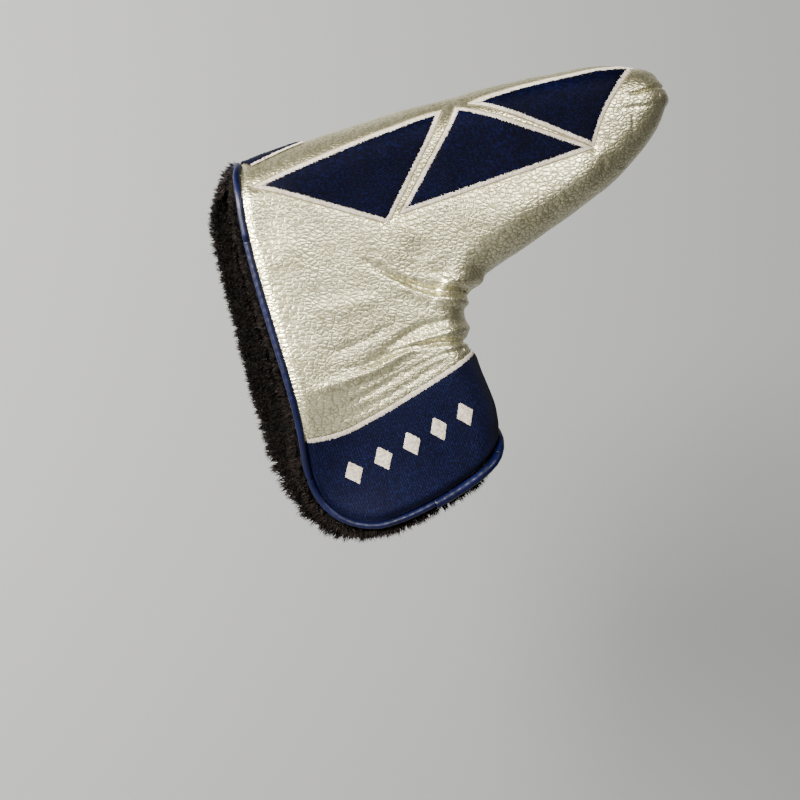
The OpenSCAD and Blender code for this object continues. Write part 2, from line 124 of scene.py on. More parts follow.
# Middle of the closure strips, where the cover is pinched flat
CLOSURE = (-32, 12)
PIPING_RADIUS, WIDE_RADIUS, CORD_RADIUS = 1.35, 1.85, 0.6
# How far a free edge turns in, then the foam's two faces, the lining's face and the plush roll on the rim
LIP = 2.5
FOAM_HEIGHTS = (-1.8, -3.4)
LINING_HEIGHT = -8.4
ROLL_HEIGHT, ROLL_RADIUS = -4.6, 1.9


# ---- the skin ----
CELL = 0.4
GRID_LOW = np.array((-90.0, -14.0))
GRID_SHAPE = (560, 560)


class Field:
    """Values on a square grid over the XZ plane, read between its points."""

    def __init__(self, values):
        self.values = values.reshape(GRID_SHAPE)

    def __call__(self, p):
        q = (np.asarray(p) - GRID_LOW) / CELL
        q = np.clip(q, 0, np.array(GRID_SHAPE) - 1.001)
        i = q.astype(int)
        t = q - i
        v, a, b = self.values, i[..., 0], i[..., 1]
        low = mix(v[a, b], v[a + 1, b], t[..., 0])
        high = mix(v[a, b + 1], v[a + 1, b + 1], t[..., 0])
        return mix(low, high, t[..., 1])


GRID = np.stack(np.meshgrid(*[np.arange(n) for n in GRID_SHAPE], indexing="ij"), -1).reshape(-1, 2)
GRID = GRID_LOW + CELL * GRID


def near(p, line):
    """Distance of points to a line, positive on its left, and the share of the line nearest to each."""
    a, ab = line[:-1], np.diff(line, axis=0)
    square = (ab * ab).sum(-1)
    steps = np.concatenate([[0], np.cumsum(np.sqrt(square))])
    gaps, shares = np.empty(len(p)), np.empty(len(p))
    for i in range(0, len(p), 20000):
        q = p[i : i + 20000, None] - a
        t = np.clip((q * ab).sum(-1) / square, 0, 1)
        d = np.linalg.norm(q - t[..., None] * ab, axis=-1)
        k = d.argmin(1)
        r = np.arange(len(k))
        cross = ab[k, 0] * q[r, k, 1] - ab[k, 1] * q[r, k, 0]
        gaps[i : i + 20000] = np.where(cross < 0, -1, 1) * d[r, k]
        shares[i : i + 20000] = (steps[k] + t[r, k] * np.sqrt(square[k])) / steps[-1]
    return gaps, shares


def extended(points):
    return np.concatenate([points, points[-1:] + 20 * unit(points[-1:] - points[-2:-1])])


from_fold = Field(near(GRID, extended(fold.points))[0])
from_seam = Field(-near(GRID, extended(seam.points))[0])


def rise(t):
    return np.where(t >= 1, 1, t * (2 - t))


def half_thickness(p):
    pinch = np.exp(-((p - CLOSURE) ** 2).sum(-1) / (2 * 18**2))
    return 17 + 5 * smooth(p[..., 1] / 50) - 3 * smooth((p[..., 0] - 40) / 70) - 10 * pinch


def skin_square(p):
    return half_thickness(p) ** 2 * rise(from_fold(p) / 18) * rise(from_seam(p) / 16)


def skin(p, side):
    """Point of the bare skin over p, and its outward normal."""
    p = np.asarray(p, float)
    e = 0.3
    y = np.sqrt(np.maximum(skin_square(p), 0))
    gx = (skin_square(p + (e, 0)) - skin_square(p - (e, 0))) / (2 * e)
    gz = (skin_square(p + (0, e)) - skin_square(p - (0, e))) / (2 * e)
    normal = unit(np.stack([-gx, side * 2 * y, -gz], -1))
    return np.stack([p[..., 0], side * y, p[..., 1]], -1), normal


# ---- relief: padding, creases and the dips along seams ----
def through(points, n=12):
    """A smooth line through the points given."""
    p = np.array(points, float)
    p = np.concatenate([2 * p[:1] - p[1:2], p, 2 * p[-1:] - p[-2:-1]])
    t = np.linspace(0, 1, n, endpoint=False)[:, None]
    parts = []
    for i in range(1, len(p) - 2):
        a, b, c, d = p[i - 1 : i + 3]
        parts.append(0.5 * (2 * b + (c - a) * t + (2 * a - 5 * b + 4 * c - d) * t**2
                            + (3 * b - a - 3 * c + d) * t**3))
    return np.concatenate(parts + [p[-2:-1]])


def ridge(points, height, width, start=0.25, end=0.25, wobble=0.0):
    """Relief along a line: a rise, or a valley if height is negative, that fades at its ends."""
    line = through(points)
    out = np.zeros(len(GRID))
    reach = 4 * width + 1
    close = ((GRID > line.min(0) - reach) & (GRID < line.max(0) + reach)).all(1)
    gap, along = near(GRID[close], line)
    fade = (smooth(along / start) if start else 1) * (smooth((1 - along) / end) if end else 1)
    breadth = width * (1 + wobble * np.sin(9 * along + points[0][0]))
    out[close] = height * fade * np.exp(-((gap / breadth) ** 2))
    return out


class Noise:
    """Smooth noise over the XZ plane, from -1 to 1, with lumps of about the size given."""

    def __init__(self, size):
        self.size = size
        self.lattice = rng.uniform(-1, 1, (64, 64))

    def __call__(self, p):
        q = np.asarray(p) / self.size
        i = np.floor(q).astype(int)
        t = q - i
        t = t * t * (3 - 2 * t)
        a, b, v = i[..., 0], i[..., 1], self.lattice
        low = mix(v[a % 64, b % 64], v[(a + 1) % 64, b % 64], t[..., 0])
        high = mix(v[a % 64, (b + 1) % 64], v[(a + 1) % 64, (b + 1) % 64], t[..., 0])
        return mix(low, high, t[..., 1])


BAND_LEFT = rim.at(BAND_RIM)
SEAM_POINT = seam.at(BAND_SEAM)
band_line = Run(through([BAND_LEFT, (-26, 35.2), (-13, 42), (0, 49.7), (12, 57), (21, 62.8), SEAM_POINT]))

# Outlines of the embroidered triangles: corners and the bow of each side, towards the inside
BORDER = 1.8
TRIANGLES = {
    "heel": ([(-62, 128.3), (14.5, 162.6), (-9, 116)], (-0.8, 0, 0)),
    "middle": ([(20, 163.9), (-4.5, 119.6), (77, 149.2)], (0, 0, 0)),
    "toe": ([(25.4, 165.8), (77, 149.7), (102, 187)], (0, 4.4, -2.2)),
}


def triangle_sides(corners, bows):
    """The three sides of a triangle, each with the unit vector that points inwards from it."""
    c = np.array(corners, float)
    centre = c.mean(0)
    sides = []
    for k in range(3):
        a, b = c[k], c[(k + 1) % 3]
        inward = left_of(unit(b - a))
        inward = inward if ((centre - a) * inward).sum() > 0 else -inward
        t = np.linspace(0, 1, 41)[:, None]
        sides.append((Run(mix(a, b, t) + bows[k] * 4 * t * (1 - t) * inward), inward))
    return sides


def mitres(corners, k):
    """The slopes of the lines that halve the corners at the two ends of side k."""
    c = np.array(corners, float)

    def half_slope(i):
        a, b = unit(c[(i + 1) % 3] - c[i]), unit(c[(i + 2) % 3] - c[i])
        return math.tan(math.acos((a * b).sum()) / 2)

    return half_slope(k), half_slope((k + 1) % 3)


def outline(corners, bows):
    return np.concatenate([s.points[:-1] for s, _ in triangle_sides(corners, bows)])


def shrunk(points, corners, width):
    """The outline moved inwards by about width, towards the middle of the triangle's inscribed circle."""
    c = np.array(corners, float)
    a, b, d = (np.linalg.norm(c[i] - c[j]) for i, j in ((1, 2), (2, 0), (0, 1)))
    middle = (a * c[0] + b * c[1] + d * c[2]) / (a + b + d)
    u, v = c[1] - c[0], c[2] - c[0]
    radius = abs(u[0] * v[1] - u[1] * v[0]) / (a + b + d)
    return middle + (points - middle) * (1 - width / radius)


from_rim = Field(np.abs(near(GRID, rim.points)[0]))
to_band = Field(near(GRID, band_line.points)[0])
heights = np.zeros(len(GRID))
for corners, bows in TRIANGLES.values():
    for side_run, inward in triangle_sides(corners, bows):
        heights += ridge(side_run.at(np.linspace(0, 1, 9)) + 0.7 * inward, -0.42, 1.7, 0, 0)
# Valleys and rolls of the slack leather in the throat, from the seam towards the heel
THROAT = [
    ([(-24, 103), (-16, 100), (-5, 95), (6, 91.3), (14, 90.3), (27, 91)], -1.5, 1.3, 0.5, 0),
    ([(-10, 93), (4, 89), (14, 87.4), (28, 87)], 1.1, 2.4, 0.5, 0),
    ([(0, 99), (8, 95.5), (16, 94.5), (30, 96)], 0.8, 2.2, 0.5, 0),
    ([(-30, 57), (-20, 60), (-4, 67.2), (8, 70), (18, 71), (30, 72)], -1.3, 1.0, 0.4, 0),
    ([(-46, 50), (-38, 51.5), (-15, 59.8), (2, 69.5), (17, 74.8), (30, 77)], 0.9, 2.2, 0.3, 0),
    ([(-34, 57), (-15, 63.5), (2, 75), (14, 79), (26, 80)], -0.6, 1.6, 0.4, 0.3),
    ([(-34, 45), (-20, 49), (-4, 58), (10, 64.5), (22, 68)], -0.55, 0.9, 0.4, 0),
    ([(-38, 40.5), (-24, 42), (-8, 50), (6, 58.5), (16, 64)], -0.35, 0.9, 0.3, 0.2),
    ([(-30, 48), (-12, 54.5), (6, 63), (20, 67)], 0.35, 1.0, 0.3, 0.2),
    ([(-44, 66), (-30, 66.5), (-14, 73), (0, 82)], -0.4, 2.0, 0.4, 0.4),
    ([(-40, 82), (-26, 84), (-8, 88)], 0.4, 3.2, 0.4, 0.4),
]
# Gathered leather at the toe, where the top fold meets the sewn underside
TOE = [
    ([(118, 178.5), (110, 177.6), (104, 175.6), (100.8, 174.3), (94.5, 172.4), (87, 172)],
     -1.2, 0.75, 0, 0.5),
    ([(117, 172), (111, 173), (106, 171)], 0.9, 2.6, 0, 0.4),
    ([(108, 184), (104, 180), (101.5, 176.5)], -0.35, 1.0, 0.3, 0.2),
    ([(104, 168.5), (98, 167), (92.5, 166.5), (88, 164.5)], -0.4, 0.7, 0.3, 0.4),
    ([(95, 166), (94.6, 161), (95.6, 155.5)], -0.3, 0.8, 0.3, 0.4),
    ([(80, 147), (82, 142), (81, 137)], -0.35, 1.3, 0.2, 0.5),
]
for points, height, width, start, end in THROAT:
    heights += ridge(points, 1.35 * height, width, start, end, 0.25)
# Broad swells: along the toe, down the heel panel, and the hollow between the two
SWELLS = [
    ([(14, 116), (50, 126), (92, 152)], 1.5, 9, 0.3, 0.3),
    ([(-52, 118), (-42, 80), (-26, 42)], 1.1, 10, 0.2, 0.2),
    ([(6, 112), (2, 100), (14, 92)], -1.4, 7, 0.3, 0.1),
    ([(38, 108), (66, 118), (96, 140)], -0.8, 5, 0.3, 0.3),
]
for points, height, width, start, end in SWELLS:
    heights += ridge(points, height, width, start, end)
for points, height, width, start, end in TOE:
    heights += ridge(points, 1.2 * height, width, start, end, 0.25)
broad, middling, fine = Noise(21.0), Noise(8.0), Noise(3.1)
heights += 0.38 * broad(GRID) + 0.16 * middling(GRID) + 0.05 * fine(GRID)
heights -= 0.3 * np.exp(-((to_band(GRID) / 1.3) ** 2))
rim_gap = from_rim(GRID)
heights -= 0.9 * np.exp(-((rim_gap / 1.5) ** 2))
relief = Field(heights)


# Places where the slack leather of the throat is drawn in or bulges out: middle, reach, shift in X and Z
PULLS = [((30.5, 71), 2.6, (-4.4, 0.2)), ((27, 78), 3.5, (1.2, 0)), ((33, 66.5), 3.0, (0.8, 0.6)),
         ((27, 90), 2.2, (-0.5, 0.2)), ((32, 96.5), 3.0, (1.2, -0.8))]


def pull(k):
    """How far the skin is shifted along X for 0, or along Z for 1."""
    return Field(sum(shift[k] * np.exp(-((GRID - middle) ** 2).sum(1) / reach**2)
                     for middle, reach, shift in PULLS))


pull_x, pull_z = pull(0), pull(1)


def placed(p, side, height=0.0, least=0.0):
    """Point at a height over the padded skin, at least so far off the middle plane, and the skin's normal."""
    p = np.asarray(p, float)
    point, normal = skin(p, side)
    point = point + normal * (height + relief(p))[..., None]
    point[..., 0] += pull_x(p)
    point[..., 2] += pull_z(p)
    point[..., 1] = side * np.maximum(side * point[..., 1], least)
    return point, normal


# ---- meshes ----
def make(name, points, faces, materials, slots=None, normals=None):
    """Object from points in millimetres and one or more arrays of faces with as many corners each."""
    faces = faces if isinstance(faces, list) else [faces]
    mesh = bpy.data.meshes.new(name)
    points = np.asarray(points, float).reshape(-1, 3)
    corners = np.concatenate([f.reshape(-1) for f in faces])
    counts = np.concatenate([np.full(len(f), f.shape[1]) for f in faces])
    mesh.vertices.add(len(points))
    mesh.vertices.foreach_set("co", (points * MM).astype(np.float32).reshape(-1))
    mesh.loops.add(len(corners))
    mesh.loops.foreach_set("vertex_index", corners.astype(np.int32))
    mesh.polygons.add(len(counts))
    mesh.polygons.foreach_set("loop_start", np.concatenate([[0], np.cumsum(counts)[:-1]]).astype(np.int32))
    for m in materials if isinstance(materials, list) else [materials]:
        mesh.materials.append(m)
    if slots is not None:
        mesh.polygons.foreach_set("material_index", slots.astype(np.int32))
    mesh.polygons.foreach_set("use_smooth", np.full(len(counts), True))
    mesh.update(calc_edges=True)
    mesh.validate()
    if normals is not None:
        mesh.normals_split_custom_set_from_vertices(normals.reshape(-1, 3).tolist())
    obj = bpy.data.objects.new(name, mesh)
    bpy.context.scene.collection.objects.link(obj)
    return obj


def net_faces(n, m, flip=False, base=0, around=False):
    """Quads of a grid of n by m points; around closes it along its second direction."""
    i, j = np.meshgrid(np.arange(n - 1), np.arange(m if around else m - 1), indexing="ij")
    a = i * m + j
    b = i * m + (j + 1) % m
    quads = np.stack([a, b, b + m, a + m], -1).reshape(-1, 4) + base
    return quads[:, ::-1] if flip else quads


def net_normals(points, outward):
    """Vertex normals of a grid of points, turned to the outward side."""
    n = unit(np.cross(np.gradient(points, axis=0), np.gradient(points, axis=1)))
    n = np.where((n * outward).sum(-1, keepdims=True) < 0, -n, n)
    weak = np.linalg.norm(n, axis=-1, keepdims=True) < 0.5
    return np.where(weak, outward, n)


def half_net(fold_ribs, rim_ribs, columns, rim_end, seam_end, last_rib=None):
    """In-plane grid of a half: ribs run from the fold, and then from the rim, to the seam, toe first."""
    k = np.linspace(0, 1, fold_ribs + 1)
    r = np.linspace(0, 1, rim_ribs + 1)[1:]
    outer = np.concatenate([fold.at(0.003 + 0.997 * k**1.15), rim.at(rim_end * r**1.5)])
    turn = 0.66
    inner = seam.at(np.concatenate([0.003 + (turn - 0.003) * k**1.12, mix(turn, seam_end, r)]))
    free = np.concatenate([np.zeros(fold_ribs + 1), smooth(r * 3)])[:, None]
    t = np.linspace(0, 1, columns + 1)[None]
    s = mix((1 - np.cos(np.pi * t)) / 2, np.sin(np.pi / 2 * t), free)[..., None]
    net = mix(outer[:, None], inner[:, None], s)
    if last_rib is not None:
        bend = np.concatenate([np.zeros(fold_ribs + 1), r**3])[:, None, None]
        straight = mix(net[-1, 0], net[-1, -1], s[-1:])
        net = net + bend * (last_rib.at(s[-1:, :, 0]) - straight)
    return net


SIDES = {"front": FRONT, "rear": REAR}


def over_flap(obj):
    """Bakes the piece's transform into its mesh."""
    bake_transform(obj)
    return obj


def lipped(name, points, outward, side, material, sewn, meets_fold=0):
    """A skin piece over a grid, its lip turned in along the free edge.

    Sewn picks the ribs that end on the middle plane, and meets_fold counts those that start on it.
    """
    points[sewn, -1, 1] = 0
    points[:meets_fold, 0, 1] = 0
    normals = net_normals(points, outward)
    normals[sewn, -1, 1] = 0
    normals[:meets_fold, 0, 1] = 0
    normals = unit(normals)
    edge = points[:, 0] - outward[:, 0] * LIP
    edge[:, 1] = side * np.maximum(side * edge[:, 1], 0)
    edge[:meets_fold] = points[:meets_fold, 0]
    points = np.concatenate([edge[:, None], points], 1)
    normals = np.concatenate([normals[:, :1], normals], 1)
    n, m = points.shape[:2]
    return make(name, points, net_faces(n, m, side == FRONT), material, normals=normals)


def tube(name, centres, sides, radius, material, steps=14):
    """A round tube along points, its radius a number or one for each point."""
    along = unit(np.gradient(centres, axis=0))
    a = unit(np.cross(along, sides))
    b = np.cross(along, a)
    turn = np.linspace(0, 2 * np.pi, steps, endpoint=False)[None, :, None]
    r = np.broadcast_to(radius, (len(centres),))[:, None, None]
    points = centres[:, None] + r * (np.cos(turn) * a[:, None] + np.sin(turn) * b[:, None])
    n = len(centres)
    points = np.concatenate([points.reshape(-1, 3), centres[[0, -1]]])
    k = np.arange(steps)
    following = (k + 1) % steps
    last = (n - 1) * steps
    caps = np.concatenate([
        np.stack([following, k, np.full(steps, n * steps)], -1),
        np.stack([last + k, last + following, np.full(steps, n * steps + 1)], -1)])
    return make(name, points, [net_faces(n, steps, around=True), caps], material)


def threads(starts, ends, side, width, arch, base, stations=4):
    """Points and faces of stitches over the skin from starts to ends, each a low arch with a rounded back."""
    starts, ends = np.asarray(starts, float), np.asarray(ends, float)
    k = np.linspace(0, 1, stations)
    p = starts[:, None] + (ends - starts)[:, None] * k[None, :, None]
    across = left_of(unit(ends - starts))[:, None]
    lift = base + arch * np.sin(np.pi * (0.06 + 0.88 * k)) ** 0.6
    lift = lift[None] + rng.normal(0, 0.03, (len(starts), 1))
    half = width / 2 * np.interp(k, [0, 0.25, 0.75, 1], [0.75, 1, 1, 0.75])[None, :, None]
    rows = [placed(p + across * half, side, lift - 0.3 * width)[0], placed(p, side, lift)[0],
            placed(p - across * half, side, lift - 0.3 * width)[0]]
    points = np.stack(rows, 2)
    n = len(starts)
    one = net_faces(stations, 3, side == FRONT)
    faces = (one[None] + (np.arange(n) * stations * 3)[:, None, None]).reshape(-1, 4)
    return points.reshape(-1, 3), faces


def gathered(parts):
    """Points and faces of several parts as one."""
    points, faces, base = [], [], 0
    for p, f in parts:
        points.append(p)
        faces.append(f + base)
        base += len(p)
    return np.concatenate(points), np.concatenate(faces)


def satin(run, inward, width=BORDER, pitch=0.36, jag_in=0.12, jag_out=0.03, slopes=(9, 9)):
    """Starts and ends of satin stitches across a border that follows run, width wide towards inward.

    Slopes are those of the lines where the border meets its neighbours at its ends.
    """
    n = int(run.length / pitch)
    f = (np.arange(n) + 0.5) / n
    way = run.heading(f)
    across = left_of(way)
    across = across * np.sign((across * inward).sum(-1, keepdims=True))
    slant = rng.normal(0, 0.04, (n, 1)) * way
    room = 0.15 + np.minimum(f * slopes[0], (1 - f) * slopes[1])[:, None] * run.length
    width = np.minimum(width, room)
    outer = run.at(f) + across * rng.normal(0, jag_out, (n, 1))
    inner = run.at(f) + across * (width + rng.normal(0, 1, (n, 1)) * jag_in) + slant
    return outer, inner


# ---- materials ----
def material(name, color, roughness, metallic=0.0, sheen=0.0, specular=0.05):
    m = bpy.data.materials.new(name)
    m.use_nodes = True
    shader = m.node_tree.nodes["Principled BSDF"]
    shader.inputs["Base Color"].default_value = (*color, 1)
    shader.inputs["Roughness"].default_value = roughness
    shader.inputs["Metallic"].default_value = metallic
    shader.inputs["Sheen Weight"].default_value = sheen
    shader.inputs["Specular IOR Level"].default_value = specular
    m.diffuse_color = (*color, 1)
    return m


def add(m, kind, **settings):
    """A node of that kind, its properties and input values set by name."""
    node = m.node_tree.nodes.new(kind)
    for key, value in settings.items():
        if hasattr(node, key):
            setattr(node, key, value)
        else:
            node.inputs[key.replace("_", " ")].default_value = value
    return node


def link(m, a, b):
    m.node_tree.links.new(a, b)


def place(m, scale=(1, 1, 1), turn=(0, 0, 0)):
    coords = add(m, "ShaderNodeTexCoord")
    mapping = add(m, "ShaderNodeMapping", Scale=scale, Rotation=turn)
    link(m, coords.outputs["Object"], mapping.inputs["Vector"])
    return mapping.outputs["Vector"]


def noise(m, where, scale, detail=2.0, roughness=0.5):
    n = add(m, "ShaderNodeTexNoise", Scale=scale, Detail=detail, Roughness=roughness)
    link(m, where, n.inputs["Vector"])
    return n.outputs["Fac"]


def ramp(m, value, *stops):
    r = add(m, "ShaderNodeValToRGB")
    link(m, value, r.inputs["Fac"])
    elements = r.color_ramp.elements
    while len(elements) < len(stops):
        elements.new(0.5)
    for e, (at, c) in zip(elements, stops):
        e.position = at
        e.color = (*c, 1) if hasattr(c, "__len__") else (c, c, c, 1)
    return r.outputs["Color"]


def blended(m, factor, a, b, mode="MIX"):
    node = add(m, "ShaderNodeMix", data_type="RGBA", blend_type=mode)
    for value, socket in ((factor, node.inputs[0]), (a, node.inputs[6]), (b, node.inputs[7])):
        if isinstance(value, bpy.types.NodeSocket):
            link(m, value, socket)
        else:
            socket.default_value = (*value, 1) if hasattr(value, "__len__") else value
    return node.outputs[2]


def maths(m, operation, a, b=0.0, c=0.0):
    node = add(m, "ShaderNodeMath", operation=operation)
    for value, socket in zip((a, b, c), node.inputs):
        if isinstance(value, bpy.types.NodeSocket):
            link(m, value, socket)
        else:
            socket.default_value = value
    return node.outputs[0]


def into(m, socket, value):
    link(m, value, m.node_tree.nodes["Principled BSDF"].inputs[socket])


def bumped(m, height, strength, distance):
    bump = add(m, "ShaderNodeBump", Strength=strength, Distance=distance)
    link(m, height, bump.inputs["Height"])
    into(m, "Normal", bump.outputs["Normal"])


def crackle(m, where, scale, low, high):
    """1 on the cells of a leather grain and 0 in the cracks between them."""
    cells = add(m, "ShaderNodeTexVoronoi", feature="DISTANCE_TO_EDGE", Scale=scale, Randomness=1.0)
    link(m, where, cells.inputs["Vector"])
    return ramp(m, cells.outputs["Distance"], (low, 0.0), (high, 1.0))


def leather_material():
    m = material("gold_leather", (0.6, 0.56, 0.4), 0.4, metallic=0.97, specular=0.5)
    where = place(m, turn=(0, math.radians(32), 0), scale=(0.8, 1, 1.3))
    warp = add(m, "ShaderNodeTexNoise", Scale=300.0, Detail=2.0)
    link(m, where, warp.inputs["Vector"])
    shift = add(m, "ShaderNodeVectorMath", operation="MULTIPLY_ADD")
    link(m, warp.outputs["Color"], shift.inputs[0])
    shift.inputs[1].default_value = (0.0007, 0.0007, 0.0007)
    link(m, where, shift.inputs[2])
    big = crackle(m, shift.outputs[0], 500.0, 0.02, 0.12)
    small = crackle(m, shift.outputs[0], 1150.0, 0.0, 0.08)
    pillow = crackle(m, shift.outputs[0], 500.0, 0.0, 0.45)
    patch = noise(m, where, 55.0, 3.0)
    grain = maths(m, "MULTIPLY_ADD", small, 0.3, maths(m, "MULTIPLY", big, 0.7))
    color = blended(m, grain, (0.17, 0.15, 0.085), (0.8, 0.757, 0.52))
    shade = ramp(m, patch, (0.3, (0.86, 0.85, 0.8)), (0.7, (1.0, 1.0, 1.0)))
    into(m, "Base Color", blended(m, 1.0, color, shade, "MULTIPLY"))
    into(m, "Roughness", ramp(m, grain, (0.0, 0.45), (1.0, 0.31)))
    height = maths(m, "MULTIPLY_ADD", pillow, 1.3, maths(m, "MULTIPLY", grain, 0.6))
    height = maths(m, "MULTIPLY_ADD", noise(m, where, 700.0, 2.0), 0.2, height)
    bumped(m, height, 0.8, 0.000105)
    return m


def thread_material(name, dark, mid, light, roughness, sheen=0.3, scale=900.0, specular=0.05):
    """Embroidery thread: fine streaks of light and dark fibres."""
    m = material(name, mid, roughness, sheen=sheen, specular=specular)
    where = place(m)
    streaks = noise(m, where, scale, 2.0, 0.6)
    broad_tone = noise(m, where, 60.0, 2.0)
    tone = maths(m, "MULTIPLY_ADD", broad_tone, 0.25, maths(m, "MULTIPLY", streaks, 0.75))
    into(m, "Base Color", ramp(m, tone, (0.36, dark), (0.5, mid), (0.66, light)))
    bumped(m, noise(m, where, 2600.0, 1.0), 0.35, 0.00008)
    return m


def band_material():
    m = material("navy_band", (0.004, 0.007, 0.045), 0.75, sheen=0.01)
    where = place(m, turn=(0, math.radians(24), 0))
    twill = add(m, "ShaderNodeTexWave", wave_type="BANDS", bands_direction="X", wave_profile="SIN",
                Scale=330.0, Distortion=2.2, Detail=2.0)
    twill.inputs["Detail Scale"].default_value = 3.0
    link(m, where, twill.inputs["Vector"])
    speck = noise(m, where, 1500.0, 2.0, 0.7)
    wide = noise(m, where, 70.0, 2.0)
    tone = maths(m, "MULTIPLY_ADD", speck, 0.75, maths(m, "MULTIPLY", twill.outputs["Fac"], 0.13))
    tone = maths(m, "MULTIPLY_ADD", wide, 0.15, tone)
    into(m, "Base Color", ramp(m, tone, (0.3, (0.0001, 0.0002, 0.002)), (0.52, (0.0003, 0.0006, 0.006)),
                               (0.72, (0.0028, 0.0048, 0.028))))
    bumped(m, tone, 0.6, 0.00025)
    return m


def piping_material():
    m = material("navy_piping", (0.004, 0.007, 0.045), 0.4, specular=0.2)
    where = place(m)
    tone = noise(m, where, 140.0, 3.0)
    into(m, "Base Color", ramp(m, tone, (0.35, (0.0004, 0.0009, 0.009)), (0.7, (0.001, 0.002, 0.018))))
    into(m, "Roughness", ramp(m, noise(m, where, 800.0, 2.0), (0.3, 0.3), (0.7, 0.44)))
    bumped(m, noise(m, where, 1800.0, 2.0), 0.25, 0.0001)
    return m


def foam_material():
    m = material("foam", (0.75, 0.7, 0.5), 0.9)
    where = place(m)
    tone = noise(m, where, 120.0, 2.0)
    into(m, "Base Color", ramp(m, tone, (0.3, (0.68, 0.62, 0.42)), (0.7, (0.8, 0.76, 0.58))))
    pores = add(m, "ShaderNodeTexVoronoi", Scale=1600.0)
    link(m, where, pores.inputs["Vector"])
    bumped(m, pores.outputs["Distance"], 0.8, 0.0003)
    return m


LEATHER = leather_material()
NAVY = thread_material("navy_thread", (0.0001, 0.0002, 0.002), (0.0002, 0.0004, 0.004),
                       (0.0008, 0.0015, 0.014), 0.5, 0.0)
CREAM = thread_material("cream_thread", (0.18, 0.15, 0.12), (0.27, 0.24, 0.2), (0.36, 0.33, 0.29), 0.55)
PATCH = thread_material("navy_thread_ground", (0.0002, 0.0004, 0.004), (0.0005, 0.001, 0.008),
                        (0.001, 0.002, 0.015), 0.8, 0.0)
# Painted shade: dark olive for a thin strip laid in the groove just outside each triangle's satin border,
# where the leather lies in shadow
GROOVE_SHADE = thread_material("painted_groove_shade", (0.09, 0.075, 0.04), (0.13, 0.11, 0.065),
                         (0.18, 0.16, 0.1), 0.7, 0.0)
BAND = band_material()
PIPING = piping_material()
FOAM = foam_material()
CORD = thread_material("piping_cord", (0.45, 0.42, 0.35), (0.6, 0.57, 0.5), (0.72, 0.7, 0.62), 0.8)
LOOP = thread_material("loop_strip", (0.008, 0.008, 0.01), (0.016, 0.016, 0.02),
                       (0.035, 0.035, 0.04), 0.9, 0.5, 2200.0)
HOOK = thread_material("hook_strip", (0.012, 0.012, 0.015), (0.03, 0.03, 0.034),
                       (0.09, 0.09, 0.1), 0.4, 0.0, 1500.0, specular=0.2)
PLUSH_GROUND = thread_material("plush_ground", (0.001, 0.0008, 0.0007), (0.002, 0.0015, 0.0013),
                               (0.005, 0.0035, 0.003), 0.95, 0.0)
# Three fibre tones; tufts also uses the darker ones for painted shade at fibre roots and the brighter ones
# for painted highlights at the tips
PLUSH = [material("plush_dark", (0.0014, 0.001, 0.0009), 0.8, sheen=0.01),
         material("plush_mid", (0.004, 0.0026, 0.0022), 0.75, sheen=0.02),
         material("plush_light", (0.013, 0.0085, 0.007), 0.7, sheen=0.05)]


# ---- leather and bands ----
FOLD_RIBS = 170
leather_net = half_net(FOLD_RIBS, 110, 130, BAND_RIM, BAND_SEAM, band_line)


def band_net(ribs=150, columns=60):
    k = np.linspace(0.004, 1, ribs + 1)
    u = 1 - (1 - k) ** 1.5
    outer = rim.at(mix(BAND_RIM, 1, u))
    neck_side = seam.at(np.linspace(BAND_SEAM, 1, 40))
    inner_run = Run(chained(band_line.points, neck_side))
    inner = inner_run.at(u)
    on_seam = smooth((u - band_line.length / inner_run.length) / 0.06)[:, None]
    t = np.linspace(0, 1, columns + 1)[None]
    s = mix(t, np.sin(np.pi / 2 * t), on_seam)[..., None]
    return mix(outer[:, None], inner[:, None], s), u > band_line.length / inner_run.length


def build_band(name, side_name):
    side = SIDES[side_name]
    net, on_seam = band_net()
    gap = from_rim(net)
    low = smooth((net[..., 0] + 44) / 24)
    dip = -(0.5 + 0.9 * low) * np.exp(-((gap / (1.2 + 0.5 * low)) ** 2))
    points, outward = placed(net, side, 0.25 + dip)
    return lipped(name, points, outward, side, BAND, on_seam)


def fill_rows(points, angle, pitch, length):
    """Starts and ends of fill stitches that cover the outline, in staggered rows along angle."""
    way = np.array((math.cos(angle), math.sin(angle)))
    up = left_of(way)
    q = np.stack([points @ way, points @ up], -1)
    starts, ends = [], []
    for row, v in enumerate(np.arange(q[:, 1].min() + pitch / 2, q[:, 1].max(), pitch)):
        a, b = q, np.roll(q, -1, 0)
        cross = (a[:, 1] > v) != (b[:, 1] > v)
        if cross.sum() < 2:
            continue
        t = (v - a[cross, 1]) / (b[cross, 1] - a[cross, 1])
        x = np.sort(a[cross, 0] + t * (b[cross, 0] - a[cross, 0]))
        first, last = x[0], x[-1]
        cuts = np.arange(math.floor(first / length) - 1, last / length + 1) * length
        cuts = cuts + (row * 0.381 % 1) * length
        cuts = np.concatenate([[first], cuts[(cuts > first + 0.4) & (cuts < last - 0.4)], [last]])
        jitter = rng.normal(0, 0.12, len(cuts))
        jitter[[0, -1]] = 0
        cuts = cuts + jitter
        line = cuts[:, None] * way + v * up
        starts.append(line[:-1])
        ends.append(line[1:])
    return np.concatenate(starts), np.concatenate(ends)


